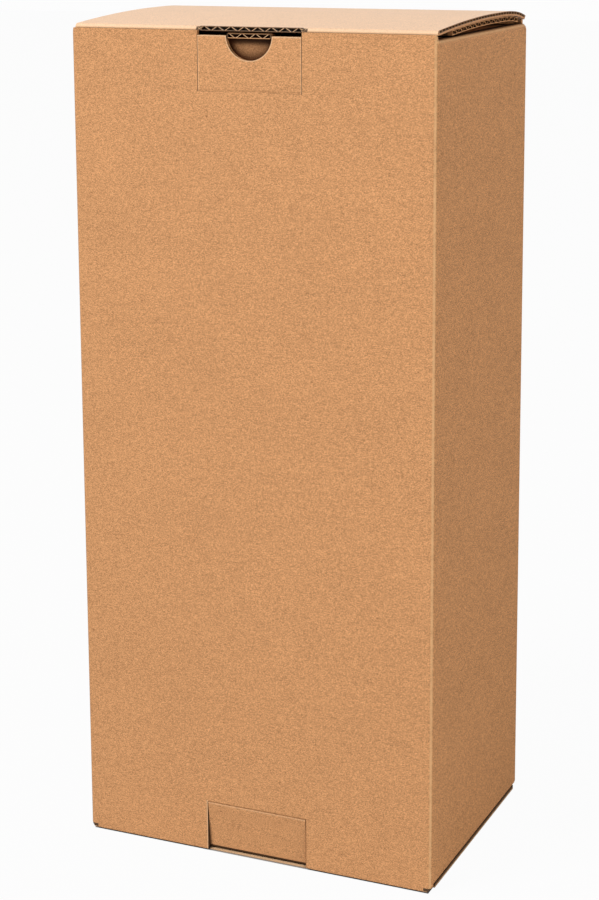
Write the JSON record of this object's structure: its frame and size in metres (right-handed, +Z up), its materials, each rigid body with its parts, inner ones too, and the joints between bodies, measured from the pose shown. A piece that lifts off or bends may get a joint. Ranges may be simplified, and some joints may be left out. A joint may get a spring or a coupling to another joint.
{
  "type": "closed cardboard box",
  "caption": "Tall tuck-end carton of corrugated board with a bowed hinged lid, a tuck flap, a thumb-notched lock tab and a locked tuck bottom.",
  "frame": {"origin": "middle of the base, on the surface that the box stands on", "axes": "+Z up, the front panel with the lock tab faces -Y, the right side wall faces +X"},
  "size_m": [0.172, 0.122, 0.3832],
  "materials": {
    "board_walls": "plain kraft liner, matt, fine fibre speckle",
    "board_lid": "plain kraft liner, matt, fine fibre speckle",
    "board_tuck": "plain kraft liner, matt",
    "board_tab": "plain kraft liner, matt"
  },
  "bodies": {
    "carton": {"carton": "board_walls"},
    "lid": {"lid": "board_lid"},
    "tuck_flap": {"tuck_flap": "board_tuck"},
    "lock_tab": {"lock_tab": "board_tab"}
  },
  "joints": [
    {"name": "lid_hinge", "type": "hinge", "parent": "carton", "child": "lid", "pos_m": [0, 0.061, 0.3802], "axis": [-1, 0, 0], "range_deg": [0, 180]},
    {"name": "tuck_fold", "type": "hinge", "parent": "lid", "child": "tuck_flap", "pos_m": [0, -0.0565, 0.3781], "axis": [1, 0, 0], "range_deg": [0, 81]},
    {"name": "lock_tab_hinge", "type": "hinge", "parent": "carton", "child": "lock_tab", "pos_m": [0, -0.061, 0.3522], "axis": [1, 0, 0], "range_deg": [0, 90]}
  ],
  "couplings": [
    {"joint": "tuck_fold", "follows": "lid_hinge", "ratio": 0.45}
  ]
}
